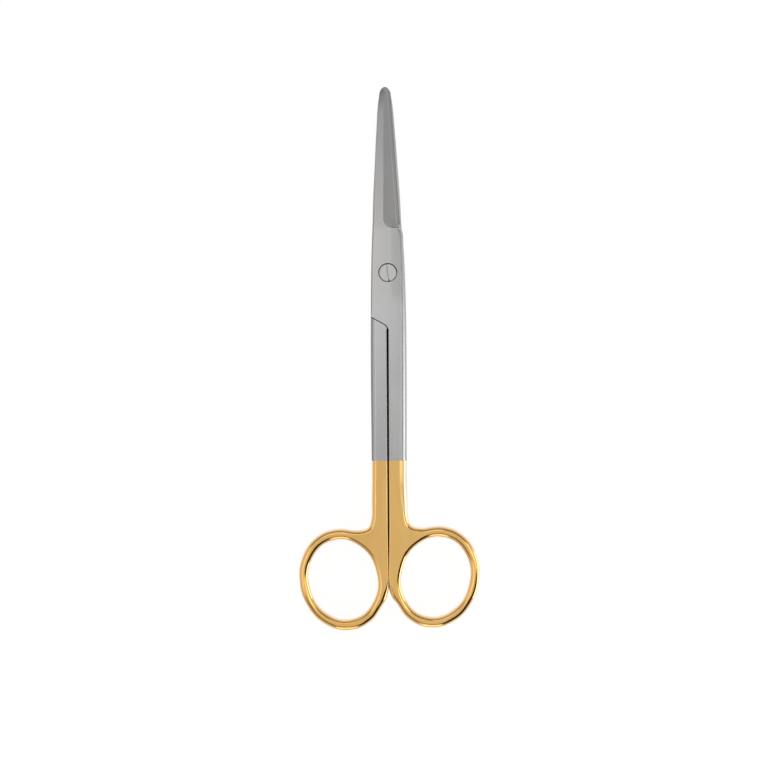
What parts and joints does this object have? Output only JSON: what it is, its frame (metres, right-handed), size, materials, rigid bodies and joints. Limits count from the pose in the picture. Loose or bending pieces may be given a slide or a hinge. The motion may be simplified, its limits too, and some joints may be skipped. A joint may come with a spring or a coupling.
{
  "type": "dissecting scissors",
  "caption": "Straight surgical scissors with tapered bevelled blades, a lap joint on a slotted screw, long flat shanks and oval finger rings with a gold-plated finish.",
  "frame": {"origin": "on the pivot axis, at the plane of the rear faces on which the scissors lie", "axes": "+Y along the closed scissors to the tips, +X to the right as seen from the screw head, +Z from the rear face to the screw head"},
  "size_m": [0.0564, 0.1697, 0.0052],
  "materials": {
    "satin_steel": "satin polished stainless steel",
    "gold_plating": "polished gold plating over the lower shanks and the rings",
    "hard_metal": "ground hard-metal edge strip",
    "screw_steel": "turned and ground flush with the lap"
  },
  "bodies": {
    "rear": {"rear_half": "satin_steel", "rear_blade_insert": "hard_metal", "pivot_screw": "screw_steel"},
    "front": {"front_half": "satin_steel", "front_blade_insert": "hard_metal"}
  },
  "joints": [
    {"name": "pivot", "type": "hinge", "parent": "rear", "child": "front", "pos_m": [0, 0, 0], "axis": [0, 0, 1], "range_deg": [0, 138]}
  ]
}
